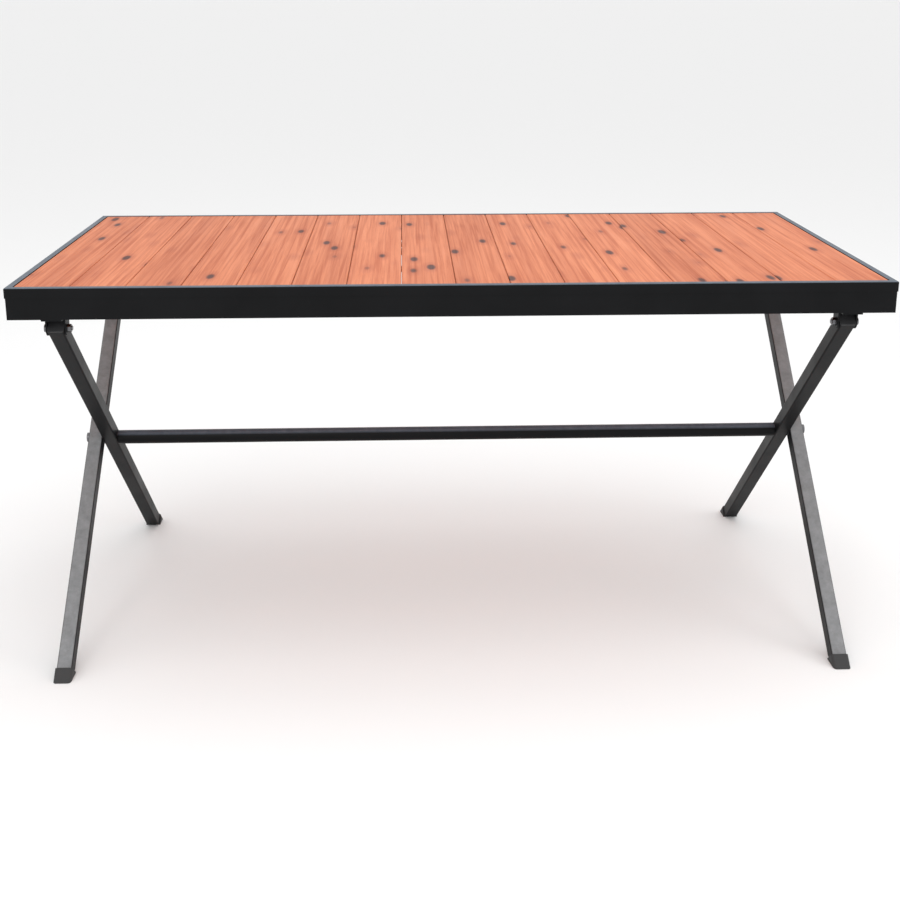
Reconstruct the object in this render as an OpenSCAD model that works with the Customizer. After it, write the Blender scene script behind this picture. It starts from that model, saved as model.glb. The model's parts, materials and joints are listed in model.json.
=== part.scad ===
// Folding table: a boarded top in a steel rim, on two crossed pairs of leg tubes.
// +Z is up, +X runs along the table and the origin is on the floor under the middle.
// The hinged legs hang from the front rail. The swing legs turn on the stretcher's ends,
// and the rod between their tops carries the rear rail.

/* [Table] */
// Length of the top along X
table_l = 1540; // [1300:10:1700]
// Width of the top along Y
table_w = 750; // [720:5:850]
// Height of the top above the floor
table_h = 740; // [720:5:760]

/* [Rim] */
// Height of the steel rim
rim_h = 56; // [52:1:64]
// Width of the rim, with the ledge that carries the boards
rim_w = 26; // [24:1:32]
// Width of the lip beside the boards
lip_w = 12; // [8:1:14]
// Wall of the rim tube
rim_wall = 1.5; // [1.2:0.1:2]
// Height of the upper band on the rim's outer face
band_h = 18; // [12:1:24]
// How far the upper band stands proud of the lower one
band_step = 1.2; // [0.6:0.1:2]
// Bevel along the rim's top outer edge
rim_bevel = 1; // [0.6:0.1:1.2]

/* [Boards] */
// Number of boards, which run from front to back
board_count = 16; // [12:1:18]
// Thickness of a board
board_t = 20; // [16:1:22]
// Gap between neighbouring boards
board_gap = 1; // [0.6:0.1:2]
// Bevel along a board's top edges
board_bevel = 1.2; // [0.8:0.1:2]
// How far the boards lie below the lip
board_drop = 0.5; // [0.3:0.1:1]
// Width of the two flat bars under the boards
stringer_w = 30; // [24:1:40]
// Thickness of the flat bars
stringer_t = 6; // [5:1:8]
// Distance of each flat bar from the table's middle
stringer_y = 125; // [90:5:160]

/* [Legs] */
// Side of the square leg tube
leg_w = 28; // [25:1:30]
// Wall of the leg tube
leg_wall = 1.5; // [1.2:0.1:2]
// Corner radius of the leg tube
leg_r = 3; // [2:0.5:4]
// Distance from the middle to the centre of a hinged leg
hinged_x = 694; // [560:1:700]
// Distance from the middle to where a leg's centre line meets the floor
foot_y = 362; // [330:1:370]
// Height of the pivot where the legs cross
pivot_z = 342; // [335:1:350]
// Drop from the rim to the front hinge and the rear rod
hinge_drop = 24; // [24:1:28]
// Thickness of the nylon washer between crossed legs
washer_t = 2; // [1.5:0.1:3]
// Side clearance between parts that turn against each other
side_gap = 0.3; // [0.3:0.1:0.5]

/* [Stretcher and rod] */
// Diameter of the stretcher between the leg crossings
stretcher_d = 28; // [26:1:30]
// Wall of the stretcher
stretcher_wall = 2; // [1.5:0.1:2.5]
// Diameter of the rod that carries the rear rail
rod_d = 16; // [14:1:18]
// Wall of the rod
rod_wall = 1.5; // [1.2:0.1:2]
// Distance from the middle to each rest above the rod
rest_x = 620; // [300:5:640]

/* [Feet] */
// Wall of the rubber foot round the leg
foot_wall = 2.5; // [1.5:0.5:3]
// Rubber between the end of the leg and the floor
foot_pad = 4; // [3:1:6]
// Length of the foot along the leg, from the floor point
foot_l = 12; // [10:1:20]

/* [Hidden] */
$fn = 48;
tiny = 0.05;
big = 2000;

rim_bottom = table_h - rim_h;
ledge_z = table_h - board_drop - board_t;
rail_inner_y = table_w / 2 - rim_w;
board_space = table_l - 2 * lip_w - board_gap;
board_pitch = board_space / board_count;
board_w = board_pitch - board_gap;
board_l = table_w - 2 * lip_w - 2 * board_gap;

lean = atan(foot_y / pivot_z);
hinge_z = rim_bottom - hinge_drop;
upper_l = (hinge_z - pivot_z) / cos(lean);
lower_l = pivot_z / cos(lean);
hinge_y = upper_l * sin(lean);
leg_end = 10;
swing_x = hinged_x + leg_w + washer_t + side_gap;
inner_w = leg_w - 2 * leg_wall;

running = 0.06;
pivot_bolt_r = 5;
pivot_bush_r = 7.5;
pivot_head_r = 9.5;
pivot_head_h = 5;
insert_l = 34;
washer_r = 13;

hinge_bolt_r = 4;
hinge_bush_r = 6;
hinge_head_r = 7;
hinge_head_h = 4.5;
hinge_nut_h = 6.5;
ear_t = 3;
ear_gap = 0.6;
ear_r = 13;
bracket_base_t = 3;
bracket_edge = 2;

rest_w = 36;
rest_gap = 0.3;
rest_depth = 26;
stop_t = 5;
stop_below = 4;

rod_cap_r = 10;
rod_cap_t = 2.5;
rod_cap_stem = 12;
plug_t = 2;
plug_stem = 3;
plug_gap = 0.5;

screw_r = 2;
screw_head_r = 4.2;
screw_head_h = 2.4;
screw_bite = 12;
key_r = 3;
key_depth = 2.6;

board_names = [for (i = [1 : board_count]) str("board_", i < 10 ? "0" : "", i)];

steel = [0.11, 0.11, 0.12];
zinc = [0.55, 0.56, 0.58];
nylon = [0.16, 0.16, 0.17];
rubber = [0.08, 0.08, 0.08];
cedar = [0.80, 0.42, 0.26];

// ---- Shapes used more than once ----

// A cylinder along X that starts at x0
module bar_x(x0, length, radius) {
    translate([x0, 0, 0])
        rotate([0, 90, 0])
            cylinder(h = length, r = radius);
}

// A hexagonal prism along X that starts at x0
module hex_x(x0, length, radius) {
    translate([x0, 0, 0])
        rotate([0, 90, 0])
            cylinder(h = length, r = radius, $fn = 6);
}

// A square with round corners
module round_square(side, radius) {
    square([side - 2 * radius, side], center = true);
    square([side, side - 2 * radius], center = true);
    for (sx = [-1, 1], sy = [-1, 1])
        translate([sx * (side / 2 - radius), sy * (side / 2 - radius)])
            circle(r = radius);
}

// Puts a leg's own frame in place: Z runs up the leg and the origin is the cross pivot
module at_leg(x, tilt) {
    translate([x, 0, pivot_z])
        rotate([tilt, 0, 0])
            children();
}

// Everything below a height
module below(z) {
    translate([-big / 2, -big / 2, z - big])
        cube([big, big, big]);
}

// ---- Top ----

// Section of the rim: X inward from the outer face, Y up from the bottom edge
module rail_section() {
    ledge = ledge_z - rim_bottom;
    difference() {
        polygon([
            [band_step, 0], [rim_w, 0], [rim_w, ledge], [lip_w, ledge],
            [lip_w, rim_h], [rim_bevel, rim_h], [0, rim_h - rim_bevel],
            [0, rim_h - band_h], [band_step, rim_h - band_h]
        ]);
        translate([band_step + rim_wall, rim_wall])
            square([rim_w - band_step - 2 * rim_wall, ledge - 2 * rim_wall]);
        translate([band_step + rim_wall, rim_wall])
            square([lip_w - band_step - 2 * rim_wall, rim_h - 2 * rim_wall]);
    }
}

// A rail along X, mitred at both ends, with its outer face towards -Y
module rail(length, width) {
    intersection() {
        translate([0, -width / 2, rim_bottom])
            rotate([90, 0, 90])
                linear_extrude(length, center = true)
                    rail_section();
        translate([0, 0, rim_bottom])
            linear_extrude(rim_h)
                polygon([
                    [-length / 2, -width / 2], [length / 2, -width / 2],
                    [length / 2 - rim_w, -width / 2 + rim_w],
                    [-length / 2 + rim_w, -width / 2 + rim_w]
                ]);
    }
}

module front_rail() {
    color(steel)
        rail(table_l, table_w);
}

module rear_rail() {
    color(steel)
        rotate([0, 0, 180])
            rail(table_l, table_w);
}

module left_rail() {
    color(steel)
        rotate([0, 0, -90])
            rail(table_w, table_l);
}

module right_rail() {
    color(steel)
        rotate([0, 0, 90])
            rail(table_w, table_l);
}

function board_x(i) = (i - (board_count + 1) / 2) * board_pitch;

// One board, with bevelled top edges and blind holes for its two screws
module board(i) {
    color(cedar)
        difference() {
            translate([board_x(i), 0, ledge_z])
                rotate([90, 0, 0])
                    linear_extrude(board_l, center = true)
                        polygon([
                            [-board_w / 2, 0], [board_w / 2, 0],
                            [board_w / 2, board_t - board_bevel],
                            [board_w / 2 - board_bevel, board_t],
                            [-board_w / 2 + board_bevel, board_t],
                            [-board_w / 2, board_t - board_bevel]
                        ]);
            for (side = [-1, 1])
                translate([board_x(i), side * stringer_y, ledge_z - 1])
                    cylinder(h = screw_bite + 1 + tiny, r = screw_r + tiny);
        }
}

// A flat bar under the boards, drilled for one screw in each board
module stringer(side) {
    length = table_l - 2 * rim_w;
    color(steel)
        difference() {
            translate([-length / 2, side * stringer_y - stringer_w / 2, ledge_z - stringer_t])
                cube([length, stringer_w, stringer_t]);
            for (i = [1 : board_count])
                translate([board_x(i), side * stringer_y, ledge_z - stringer_t - 1])
                    cylinder(h = stringer_t + 2, r = screw_r + tiny);
        }
}

module board_screws() {
    color(zinc)
        for (i = [1 : board_count], side = [-1, 1])
            translate([board_x(i), side * stringer_y, ledge_z - stringer_t - screw_head_h]) {
                cylinder(h = screw_head_h, r = screw_head_r);
                cylinder(h = screw_head_h + stringer_t + screw_bite, r = screw_r);
            }
}

// ---- Front hinges and rear rests ----

// A clevis under the front rail: a base plate and two ears round the leg
module hinge_bracket(side) {
    ear_x = leg_w / 2 + ear_gap;
    base_back = -hinge_y + ear_r;
    base_front = -table_w / 2 + bracket_edge;
    color(steel)
        translate([side * hinged_x, 0, 0])
            difference() {
                union() {
                    translate([-ear_x - ear_t, base_front, rim_bottom - bracket_base_t])
                        cube([2 * (ear_x + ear_t), base_back - base_front, bracket_base_t]);
                    for (x0 = [-ear_x - ear_t, ear_x]) {
                        translate([x0, -hinge_y - ear_r, hinge_z])
                            cube([ear_t, 2 * ear_r, hinge_drop - bracket_base_t]);
                        translate([0, -hinge_y, hinge_z])
                            bar_x(x0, ear_t, ear_r);
                    }
                }
                translate([0, -hinge_y, hinge_z])
                    bar_x(-leg_w, 2 * leg_w, hinge_bolt_r + tiny);
            }
}

// Bolts that carry the hinged legs, with their heads outboard
module hinge_bolts() {
    outer = leg_w / 2 + ear_gap + ear_t;
    color(zinc)
        for (side = [-1, 1])
            translate([side * hinged_x, -hinge_y, hinge_z])
                mirror([side < 0 ? 1 : 0, 0, 0])
                    difference() {
                        union() {
                            bar_x(-outer - hinge_nut_h - 2, 2 * outer + hinge_nut_h + 2, hinge_bolt_r);
                            bar_x(outer, hinge_head_h, hinge_head_r);
                        }
                        hex_x(outer + hinge_head_h - key_depth, key_depth + 1, key_r);
                    }
}

module hinge_nuts() {
    outer = leg_w / 2 + ear_gap + ear_t;
    color(zinc)
        for (side = [-1, 1])
            translate([side * hinged_x, -hinge_y, hinge_z])
                mirror([side < 0 ? 1 : 0, 0, 0])
                    difference() {
                        hex_x(-outer - hinge_nut_h, hinge_nut_h, hinge_head_r + 0.5);
                        bar_x(-outer - hinge_nut_h - 1, hinge_nut_h + 2, hinge_bolt_r + tiny);
                    }
}

// A block under the rear rail that bears down on the rod
module rod_rest(side) {
    rod_top = hinge_z + rod_d / 2 + rest_gap;
    color(steel)
        translate([side * rest_x - rest_w / 2, hinge_y - rod_d / 2 - rest_gap, rod_top])
            cube([rest_w, rest_depth + rod_d, rim_bottom - rod_top]);
}

// A tab on the rest's inner side that keeps the rod from sliding inward
module rod_stop(side) {
    z0 = hinge_z - stop_below;
    color(steel)
        translate([side * rest_x - rest_w / 2, hinge_y - rod_d / 2 - rest_gap - stop_t, z0])
            cube([rest_w, stop_t, rim_bottom - z0]);
}

// ---- Leg tubes ----

// The outside of a leg along its own Z, from the floor side to its top end
module leg_solid(from, to, side = leg_w, radius = leg_r) {
    translate([0, 0, from])
        linear_extrude(to - from)
            round_square(side, radius);
}

// A leg tube with holes of radius pivot_r at the crossing and top_r near its top
module leg_tube(x, tilt, pivot_r, top_r) {
    bottom = -lower_l - leg_w;
    top = upper_l + leg_end;
    color(steel)
        difference() {
            at_leg(x, tilt)
                difference() {
                    leg_solid(bottom, top);
                    leg_solid(bottom - 1, top + 1, inner_w, leg_r - leg_wall);
                    bar_x(-leg_w, 2 * leg_w, pivot_r + tiny);
                    translate([0, 0, upper_l])
                        bar_x(-leg_w, 2 * leg_w, top_r + tiny);
                }
            below(foot_pad);
        }
}

module hinged_leg(side) {
    leg_tube(side * hinged_x, lean, pivot_bolt_r, hinge_bush_r);
}

module swing_leg(side) {
    leg_tube(side * swing_x, -lean, pivot_bush_r, rod_d / 2);
}

// A rubber foot that wraps the end of a leg and lies flat on the floor
module leg_foot(x, tilt) {
    bottom = -lower_l - leg_w;
    color(rubber)
        difference() {
            at_leg(x, tilt)
                leg_solid(bottom - leg_w, foot_l - lower_l, leg_w + 2 * foot_wall, leg_r + foot_wall);
            difference() {
                at_leg(x, tilt)
                    leg_solid(bottom - 2 * leg_w, foot_l, leg_w, leg_r);
                below(foot_pad);
            }
            below(0);
        }
}

// Plugs that close the top ends of a pair of legs, notched to clear the pin through each leg
module leg_plugs(x, tilt, through_r) {
    color(nylon)
        for (side = [-1, 1])
            at_leg(side * x, tilt)
                difference() {
                    translate([0, 0, upper_l + leg_end]) {
                        leg_solid(0, plug_t);
                        leg_solid(-plug_stem, 0, inner_w - 2 * tiny, leg_r - leg_wall);
                    }
                    translate([0, 0, upper_l])
                        bar_x(-leg_w, 2 * leg_w, through_r + plug_gap);
                }
}

// Bushes in the tops of the hinged legs, round the hinge bolts
module hinge_bushes() {
    color(nylon)
        for (side = [-1, 1])
            translate([side * hinged_x, -hinge_y, hinge_z])
                difference() {
                    bar_x(-leg_w / 2, leg_w, hinge_bush_r);
                    bar_x(-leg_w, 2 * leg_w, hinge_bolt_r + running);
                }
}

// ---- Cross pivots and stretcher ----

module stretcher() {
    length = 2 * hinged_x - leg_w;
    color(steel)
        translate([0, 0, pivot_z])
            difference() {
                bar_x(-length / 2, length, stretcher_d / 2);
                bar_x(-length / 2 - 1, length + 2, stretcher_d / 2 - stretcher_wall);
            }
}

// A threaded insert in the end of the stretcher
module stretcher_insert(side) {
    inner_face = hinged_x - leg_w / 2;
    color(zinc)
        translate([0, 0, pivot_z])
            mirror([side < 0 ? 1 : 0, 0, 0])
                difference() {
                    bar_x(inner_face - insert_l, insert_l, stretcher_d / 2 - stretcher_wall - tiny);
                    bar_x(inner_face - insert_l - 1, insert_l + 2, pivot_bolt_r + tiny);
                }
}

// The bolt through both crossed legs into the stretcher, with its head outboard
module pivot_bolt(side) {
    inner_end = hinged_x - leg_w / 2 - insert_l + 2;
    outer_face = swing_x + leg_w / 2 + side_gap;
    color(zinc)
        translate([0, 0, pivot_z])
            mirror([side < 0 ? 1 : 0, 0, 0])
                difference() {
                    union() {
                        bar_x(inner_end, outer_face - inner_end + 1, pivot_bolt_r);
                        bar_x(outer_face, pivot_head_h, pivot_head_r);
                    }
                    hex_x(outer_face + pivot_head_h - key_depth, key_depth + 1, key_r + 1);
                }
}

module pivot_washers() {
    color(nylon)
        for (side = [-1, 1])
            translate([0, 0, pivot_z])
                mirror([side < 0 ? 1 : 0, 0, 0])
                    difference() {
                        bar_x(hinged_x + leg_w / 2, washer_t, washer_r);
                        bar_x(hinged_x, leg_w, pivot_bolt_r + tiny);
                    }
}

// The bush in a swing leg that turns on the pivot bolt
module pivot_bush(side) {
    color(nylon)
        translate([side * swing_x, 0, pivot_z])
            difference() {
                bar_x(-leg_w / 2, leg_w, pivot_bush_r);
                bar_x(-leg_w, 2 * leg_w, pivot_bolt_r + running);
            }
}

// ---- Rear rod ----

module rear_rod() {
    length = 2 * swing_x + leg_w;
    color(steel)
        translate([0, hinge_y, hinge_z])
            difference() {
                bar_x(-length / 2, length, rod_d / 2);
                bar_x(-length / 2 - 1, length + 2, rod_d / 2 - rod_wall);
            }
}

module rod_end_caps() {
    outer_face = swing_x + leg_w / 2;
    color(nylon)
        translate([0, hinge_y, hinge_z])
            for (side = [-1, 1])
                mirror([side < 0 ? 1 : 0, 0, 0]) {
                    bar_x(outer_face, rod_cap_t, rod_cap_r);
                    bar_x(outer_face - rod_cap_stem, rod_cap_stem, rod_d / 2 - rod_wall - tiny);
                }
}

front_rail();
rear_rail();
left_rail();
right_rail();
stringer(-1);  // front_stringer
stringer(1);  // rear_stringer
board_screws();
hinge_bracket(-1);  // left_hinge_bracket
hinge_bracket(1);  // right_hinge_bracket
hinge_bolts();
hinge_nuts();
rod_rest(-1);  // left_rod_rest
rod_rest(1);  // right_rod_rest
rod_stop(-1);  // left_rod_stop
rod_stop(1);  // right_rod_stop
hinged_leg(-1);  // left_hinged_leg
hinged_leg(1);  // right_hinged_leg
stretcher();
stretcher_insert(-1);  // left_stretcher_insert
stretcher_insert(1);  // right_stretcher_insert
pivot_bolt(-1);  // left_pivot_bolt
pivot_bolt(1);  // right_pivot_bolt
pivot_washers();
hinge_bushes();
leg_foot(-hinged_x, lean);  // left_hinged_leg_foot
leg_foot(hinged_x, lean);  // right_hinged_leg_foot
leg_plugs(hinged_x, lean, hinge_bush_r);  // hinged_leg_plugs
swing_leg(-1);  // left_swing_leg
swing_leg(1);  // right_swing_leg
rear_rod();
rod_end_caps();
pivot_bush(-1);  // left_pivot_bush
pivot_bush(1);  // right_pivot_bush
leg_foot(-swing_x, -lean);  // left_swing_leg_foot
leg_foot(swing_x, -lean);  // right_swing_leg_foot
leg_plugs(swing_x, -lean, rod_d / 2);  // swing_leg_plugs
for (i = [1 : board_count])
    board(i);
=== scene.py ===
"""Folding table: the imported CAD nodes, with procedural materials, a camera and studio light.

Every visible piece is a CAD node. Units are metres, +Z is up and the table's front faces -Y.
Colours are linear. A ramp's stop is a pair: the place along the ramp, and the value there.
"""
import json
import math
import random

import bpy
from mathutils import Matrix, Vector


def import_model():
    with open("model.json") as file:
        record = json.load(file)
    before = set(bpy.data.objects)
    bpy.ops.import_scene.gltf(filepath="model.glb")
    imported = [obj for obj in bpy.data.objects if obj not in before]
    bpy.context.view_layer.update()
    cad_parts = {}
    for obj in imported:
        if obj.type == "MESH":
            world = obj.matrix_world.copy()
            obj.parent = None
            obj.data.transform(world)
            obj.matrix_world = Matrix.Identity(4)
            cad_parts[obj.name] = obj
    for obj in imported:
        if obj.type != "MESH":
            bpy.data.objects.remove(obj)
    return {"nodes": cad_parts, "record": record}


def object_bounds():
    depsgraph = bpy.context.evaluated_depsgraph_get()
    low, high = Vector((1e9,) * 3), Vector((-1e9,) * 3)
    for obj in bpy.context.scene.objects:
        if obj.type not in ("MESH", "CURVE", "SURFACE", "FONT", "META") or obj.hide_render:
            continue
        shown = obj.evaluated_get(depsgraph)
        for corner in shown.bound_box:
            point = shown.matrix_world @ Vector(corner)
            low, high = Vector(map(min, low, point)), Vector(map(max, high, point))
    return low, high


# The camera stands before the table, looks down a little and turns slightly to the right
CAMERA_PLACE = (-0.088, -2.524, 1.218)
CAMERA_YAW = 0.0357
CAMERA_PITCH = 0.2526
CAMERA_SHIFT = 0.135
FOCAL_RATIO = 1.425
SENSOR = 36.0

# The floor reaches the horizon and lies just under the feet
FLOOR_SIZE = 4000
FLOOR_DROP = 0.0005
FLOOR_COLOUR = (0.86, 0.86, 0.86, 1)
FLOOR_ROUGHNESS = 0.9
SKY_COLOUR = (1, 1, 1, 1)
SKY_STRENGTH = 1.0

# Each soft light: its place, the point that it faces, the side of its square and its watts
LIGHTS = {
    "top_light": ((0.2, -0.3, 3.4), (0, 0, 0.7), 3.2, 36),
    "front_light": ((-1.2, -4.2, 2.6), (0, 0, 0.5), 2.4, 40),
    "right_light": ((3.6, -1.4, 1.7), (0, 0, 0.4), 2.0, 26),
}

STEEL_DARK = (0.0025, 0.0026, 0.0029, 1)
STEEL_LIGHT = (0.0075, 0.0078, 0.0088, 1)
DUST_SPECKS = (0.05, 0.05, 0.052, 1)
# The next two colours are painted sky sheen. Upward faces of the frame are lightened towards them in
# place of light from above, and the four long legs more strongly.
FRAME_SKY_SHEEN = (0.105, 0.125, 0.155, 1)
LEG_SKY_SHEEN = (0.25, 0.254, 0.26, 1)
LONG_LEGS = ("left_hinged_leg", "right_hinged_leg", "left_swing_leg", "right_swing_leg")

ZINC_DARK = (0.10, 0.10, 0.105, 1)
ZINC_LIGHT = (0.21, 0.21, 0.22, 1)
NYLON_DARK = (0.014, 0.014, 0.015, 1)
NYLON_LIGHT = (0.030, 0.030, 0.032, 1)
RUBBER_DARK = (0.018, 0.018, 0.018, 1)
RUBBER_LIGHT = (0.042, 0.042, 0.043, 1)
GLOSS_SPREAD = 0.08

# The seed of the boards' draws, how far each pattern is moved, and how far each tone strays
BOARD_SEED = 7
PATTERN_SHIFT = 9
TONE_SPREAD = 0.035

# Each wood colour, and how much of a board's tone goes into its red, green and blue
WOOD_LIGHT = ((0.65, 0.205, 0.087), (1, 0.5, 0.3))
WOOD_WARM = ((0.54, 0.153, 0.060), (1, 0.4, 0.2))
WOOD_DEEP = ((0.37, 0.082, 0.034), (1, 0.3, 0.2))
WOOD_PORES = (0.42, 0.11, 0.05, 1)
WOOD_KNOT = (0.085, 0.024, 0.016, 1)

# Cycles per metre across the board, along it and through it
BROAD_SCALE = (16, 1.1, 16)
GRAIN_SCALE = (150, 2.6, 150)
PORE_SCALE = (900, 26, 900)
WANDER_SCALE = (14, 5, 14)
KNOT_SCALE = (22, 7.5, 0)


class Nodes:
    """Builds one material's node tree with short calls."""

    def __init__(self, name):
        self.material = bpy.data.materials.new(name)
        self.material.use_nodes = True
        self.tree = self.material.node_tree
        self.shader = self.tree.nodes["Principled BSDF"]

    def add(self, kind, settings=None, **inputs):
        """A node with its settings, and its inputs by name: an underscore stands for a space."""
        node = self.tree.nodes.new(kind)
        for key, value in (settings or {}).items():
            setattr(node, key, value)
        for key, value in inputs.items():
            self.put(node.inputs[key.replace("_", " ")], value)
        return node

    def put(self, socket, value):
        """Links a socket to the input, or sets the input to a plain value."""
        if isinstance(value, bpy.types.NodeSocket):
            self.tree.links.new(value, socket)
        else:
            socket.default_value = value

    def position(self, scale, shift=(0, 0, 0)):
        """Object coordinates, scaled and moved: they stay with the piece in every pose."""
        coords = self.add("ShaderNodeTexCoord").outputs["Object"]
        mapping = self.add("ShaderNodeMapping", Scale=scale, Location=shift, Vector=coords)
        return mapping.outputs["Vector"]

    def noise(self, vector, scale, detail=4.0, roughness=0.55, distortion=0.0):
        return self.add(
            "ShaderNodeTexNoise",
            Vector=vector, Scale=scale, Detail=detail, Roughness=roughness, Distortion=distortion,
        ).outputs["Fac"]

    def ramp(self, factor, *stops):
        """A colour ramp whose stops are in rising order."""
        node = self.add("ShaderNodeValToRGB", Fac=factor)
        elements = node.color_ramp.elements
        while len(elements) < len(stops):
            elements.new(0.5)
        for element, (place, colour) in zip(elements, stops):
            element.position = place
            element.color = colour
        return node.outputs["Color"]

    def grey_ramp(self, factor, *stops):
        return self.ramp(factor, *[(place, (v, v, v, 1)) for place, v in stops])

    def math(self, operation, a, b):
        node = self.add("ShaderNodeMath", {"operation": operation})
        self.put(node.inputs[0], a)
        self.put(node.inputs[1], b)
        return node.outputs[0]

    def mix(self, factor, a, b):
        return self.add("ShaderNodeMixRGB", Fac=factor, Color1=a, Color2=b).outputs["Color"]

    def bump(self, height, distance, strength, **normal):
        return self.add(
            "ShaderNodeBump", Height=height, Distance=distance, Strength=strength, **normal
        ).outputs["Normal"]

    def surface(self, **values):
        """Sets the shader's inputs by name and returns the finished material."""
        for key, value in values.items():
            self.put(self.shader.inputs[key.replace("_", " ")], value)
        return self.material


def powder_coat(name, sky_sheen):
    """Black powder coat with fine orange peel and dust specks, and a painted sky sheen: faces that turn
    upwards are lightened in patches, as if lit from above.
    """
    n = Nodes(name)
    place = n.position((1, 1, 1))
    clouds = n.noise(place, 9.0, detail=3.0)
    peel = n.noise(place, 900.0, detail=2.0)
    dust_and_sheen_noise = n.noise(place, 60.0, detail=5.0, roughness=0.7)
    colour = n.mix(clouds, STEEL_DARK, STEEL_LIGHT)
    colour = n.mix(n.grey_ramp(dust_and_sheen_noise, (0.64, 0.0), (0.80, 0.10)), colour, DUST_SPECKS)
    # Painted highlight: the more a face turns upwards, the more its colour goes to the pale sky-sheen
    # colour, broken into patches by the same noise as the dust specks.
    facing = n.add("ShaderNodeTexCoord").outputs["Normal"]
    upward = n.add("ShaderNodeSeparateXYZ", Vector=facing).outputs["Z"]
    sky = n.grey_ramp(upward, (0.45, 0.0), (0.72, 1.0))
    patchy = n.grey_ramp(dust_and_sheen_noise, (0.30, 0.72), (0.65, 1.0))
    colour = n.mix(n.math("MULTIPLY", sky, patchy), colour, sky_sheen)
    return n.surface(
        Base_Color=colour,
        Roughness=n.grey_ramp(clouds, (0.3, 0.34), (0.7, 0.48)),
        Normal=n.bump(peel, 0.00012, 0.35),
        Specular_IOR_Level=0.10,
    )


def zinc_plate(name):
    """Dark plated fastener: fine turning marks and patchy brightness."""
    n = Nodes(name)
    patches = n.noise(n.position((1, 1, 1)), 180.0)
    marks = n.noise(n.position((900, 60, 60)), 1.0, detail=2.0)
    return n.surface(
        Base_Color=n.mix(patches, ZINC_DARK, ZINC_LIGHT),
        Metallic=1.0,
        Roughness=n.grey_ramp(marks, (0.3, 0.26), (0.7, 0.42)),
        Normal=n.bump(marks, 0.00005, 0.4),
    )


def moulded(name, dark, light, roughness, grain):
    """Moulded nylon or rubber, with a fine matt grain and a smudged gloss."""
    n = Nodes(name)
    place = n.position((1, 1, 1))
    grains = n.noise(place, grain, detail=3.0)
    smudge = n.noise(place, 45.0)
    return n.surface(
        Base_Color=n.mix(smudge, dark, light),
        Roughness=n.grey_ramp(smudge, (0.3, roughness - GLOSS_SPREAD), (0.7, roughness + GLOSS_SPREAD)),
        Normal=n.bump(grains, 0.0002, 0.5),
    )


def toned(wood, tone):
    """One wood colour moved by a board's own tone."""
    colour, shares = wood
    return tuple(c + tone * share for c, share in zip(colour, shares)) + (1,)


def knot_masks(n, shift):
    """Two masks for scattered knots drawn out along the board: the dark core and the halo round it."""
    wander = n.noise(n.position(WANDER_SCALE, shift), 1.0, detail=2.0)
    cells = n.add(
        "ShaderNodeTexVoronoi", {"feature": "F1", "distance": "EUCLIDEAN"},
        Vector=n.position(KNOT_SCALE, shift), Scale=1.0, Randomness=1.0,
    )
    draw = n.add("ShaderNodeSeparateColor", Color=cells.outputs["Color"]).outputs["Red"]
    chosen = n.grey_ramp(draw, (0.78, 1.0), (0.80, 0.0))
    reach = n.math("ADD", cells.outputs["Distance"], n.math("MULTIPLY", wander, 0.12))
    core = n.math("MULTIPLY", n.grey_ramp(reach, (0.17, 1.0), (0.25, 0.0)), chosen)
    halo = n.math("MULTIPLY", n.grey_ramp(reach, (0.14, 0.7), (0.46, 0.0)), chosen)
    return core, halo


def board_wood(name, draw):
    """Oiled reddish softwood: straight grain along Y, dark knots, and a tone of the board's own."""
    n = Nodes(name)
    shift = tuple(draw.uniform(-PATTERN_SHIFT, PATTERN_SHIFT) for _ in range(3))
    tone = draw.uniform(-TONE_SPREAD, TONE_SPREAD)
    light = toned(WOOD_LIGHT, tone)
    warm = toned(WOOD_WARM, tone)
    deep = toned(WOOD_DEEP, tone)

    broad = n.noise(n.position(BROAD_SCALE, shift), 1.0, detail=3.0, distortion=0.5)
    grain = n.noise(n.position(GRAIN_SCALE, shift), 1.0, detail=5.0, roughness=0.62, distortion=0.3)
    pores = n.noise(n.position(PORE_SCALE, shift), 1.0, detail=3.0)
    core, halo = knot_masks(n, shift)

    colour = n.ramp(broad, (0.32, warm), (0.52, light), (0.72, warm))
    colour = n.mix(n.grey_ramp(grain, (0.42, 0.0), (0.64, 0.62)), colour, deep)
    colour = n.mix(n.grey_ramp(pores, (0.55, 0.0), (0.75, 0.35)), colour, WOOD_PORES)
    colour = n.mix(halo, colour, deep)
    colour = n.mix(core, colour, WOOD_KNOT)

    relief = n.math("SUBTRACT", grain, n.math("MULTIPLY", core, 0.6))
    return n.surface(
        Base_Color=colour,
        Roughness=n.grey_ramp(grain, (0.3, 0.42), (0.7, 0.58)),
        Normal=n.bump(relief, 0.0006, 0.35, Normal=n.bump(pores, 0.0002, 0.25)),
        Specular_IOR_Level=0.2,
    )


def assign(obj, material):
    obj.data.materials.clear()
    obj.data.materials.append(material)


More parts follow.
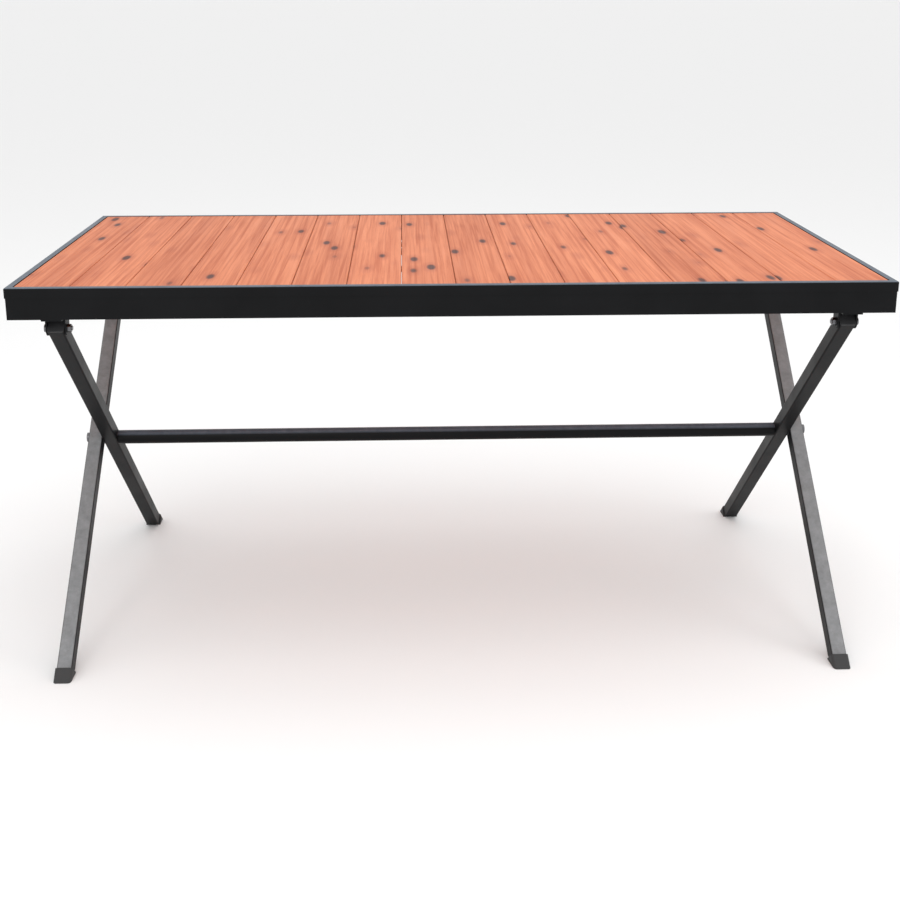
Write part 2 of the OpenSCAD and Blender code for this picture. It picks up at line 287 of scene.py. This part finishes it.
def dress(frame):
    """Gives every CAD node its material: one of its own for each board, shared ones elsewhere."""
    slots = {row["node"]: row["material_slot"] for row in frame["record"]["subparts"]}
    shared = {
        "black_steel": powder_coat("powder_coat", FRAME_SKY_SHEEN),
        "fasteners": zinc_plate("zinc_plate"),
        "nylon": moulded("nylon", NYLON_DARK, NYLON_LIGHT, roughness=0.5, grain=1400.0),
        "rubber_feet": moulded("rubber", RUBBER_DARK, RUBBER_LIGHT, roughness=0.72, grain=700.0),
    }
    # The four long legs get a stronger painted sky sheen on their upward faces; the rest of the steel
    # gets a fainter one.
    sky_sheen_leg_coat = powder_coat("sky_sheen_powder_coat", LEG_SKY_SHEEN)
    draw = random.Random(BOARD_SEED)
    for name in sorted(frame["nodes"]):
        node = frame["nodes"][name]
        if slots[name] == "boards":
            assign(node, board_wood(name + "_wood", draw))
        elif name in LONG_LEGS:
            assign(node, sky_sheen_leg_coat)
        else:
            assign(node, shared[slots[name]])


def studio(table_low):
    """A plain pale floor that runs to the horizon, a white sky and three soft lights."""
    bpy.ops.mesh.primitive_plane_add(size=FLOOR_SIZE, location=(0, 0, table_low[2] - FLOOR_DROP))
    floor = bpy.context.object
    floor.name = "floor"
    assign(floor, Nodes("studio_floor").surface(Base_Color=FLOOR_COLOUR, Roughness=FLOOR_ROUGHNESS))

    world = bpy.data.worlds.new("studio")
    world.use_nodes = True
    background = world.node_tree.nodes["Background"]
    background.inputs["Color"].default_value = SKY_COLOUR
    background.inputs["Strength"].default_value = SKY_STRENGTH
    bpy.context.scene.world = world

    for name, (place, target, size, power) in LIGHTS.items():
        area_light(name, place, target, size, power)


def area_light(name, place, target, size, power):
    """A square soft light that faces its target."""
    data = bpy.data.lights.new(name, "AREA")
    data.size = size
    data.energy = power
    lamp = bpy.data.objects.new(name, data)
    bpy.context.scene.collection.objects.link(lamp)
    lamp.location = place
    lamp.rotation_euler = (Vector(target) - Vector(place)).to_track_quat("-Z", "Y").to_euler()


def camera():
    data = bpy.data.cameras.new("camera")
    data.sensor_width = SENSOR
    data.lens = SENSOR * FOCAL_RATIO
    data.shift_y = -CAMERA_SHIFT
    cam = bpy.data.objects.new("camera", data)
    bpy.context.scene.collection.objects.link(cam)
    cam.location = CAMERA_PLACE
    cam.rotation_euler = (math.pi / 2 - CAMERA_PITCH, 0, -CAMERA_YAW)
    bpy.context.scene.camera = cam


def main():
    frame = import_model()
    cad_low, cad_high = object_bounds()
    camera()
    dress(frame)
    studio(cad_low)
    bpy.context.scene.view_settings.view_transform = "Standard"


main()
